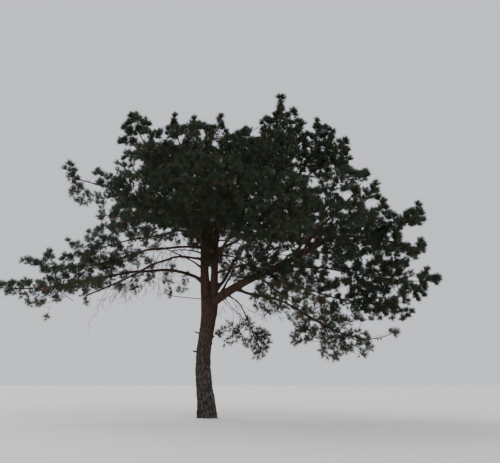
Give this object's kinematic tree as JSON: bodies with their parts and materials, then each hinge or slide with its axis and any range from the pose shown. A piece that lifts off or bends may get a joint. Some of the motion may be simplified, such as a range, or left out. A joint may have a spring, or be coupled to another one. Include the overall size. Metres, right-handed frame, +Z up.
{
  "type": "scots pine tree",
  "caption": "Old open-grown Scots pine: a leaning trunk that forks low, a heavy bough rising to the right, long drooping boughs to the left and a broad, uneven crown of needle tufts.",
  "frame": {"origin": "middle of the flat cut at ground level, under the trunk", "axes": "+Z up, +X to the right of the tree as pictured, +Y away from the viewer; the heavy bough rises towards +X and the long level boughs reach towards -X"},
  "size_m": [14.6576, 10.9217, 11.0138],
  "materials": {
    "bark_grey": "matt, deeply furrowed grey-brown plates",
    "bark_red": "matt, thin flaking red-brown bark",
    "needles": "matt dark green needles"
  },
  "bodies": {
    "root": {"trunk": "bark_grey", "second_stem": "bark_red", "great_bough": "bark_red", "bough_far_left": "bark_red", "bough_left_middle": "bark_red", "bough_left_drooping": "bark_red", "bough_left_upper": "bark_red", "bough_left_shoulder": "bark_red", "bough_upper_left": "bark_red", "bough_top_left": "bark_red", "bough_front_left": "bark_red", "bough_front_middle": "bark_red", "bough_back_left": "bark_red", "bough_back_middle": "bark_red", "bough_top_right": "bark_red", "bough_front_right": "bark_red", "bough_back_right": "bark_red", "bough_right_shoulder": "bark_red", "bough_right_upper": "bark_red", "bough_far_right": "bark_red", "bough_right_low": "bark_red", "bough_lower_right": "bark_red", "bough_right_inner": "bark_red", "bough_hanging": "bark_red", "bough_front_far_right": "bark_red", "bough_back_far_right": "bark_red", "needles_far_left": "needles", "needles_left_middle": "needles", "needles_left_drooping": "needles", "needles_left_upper": "needles", "needles_left_shoulder": "needles", "needles_upper_left": "needles", "needles_lower_right": "needles", "needles_right_inner": "needles", "needles_hanging": "needles", "needles_trunk_tuft": "needles", "needles_right_shoulder": "needles", "needles_right_upper": "needles", "needles_right_middle": "needles", "needles_far_right": "needles", "needles_right_low": "needles", "needles_back_far_right": "needles", "needles_right_of_stem": "needles", "needles_top_left": "needles", "needles_top_middle": "needles", "needles_top_left_inner": "needles", "needles_top_right_inner": "needles", "needles_peak": "needles", "needles_top_right": "needles", "needles_front_left": "needles", "needles_front_middle": "needles", "needles_front_right": "needles", "needles_front_top_left": "needles", "needles_front_top_right": "needles", "needles_front_far_right": "needles", "needles_back_left": "needles", "needles_back_middle": "needles", "needles_back_right": "needles", "needles_back_top_left": "needles", "needles_back_top_right": "needles"}
  },
  "joints": []
}
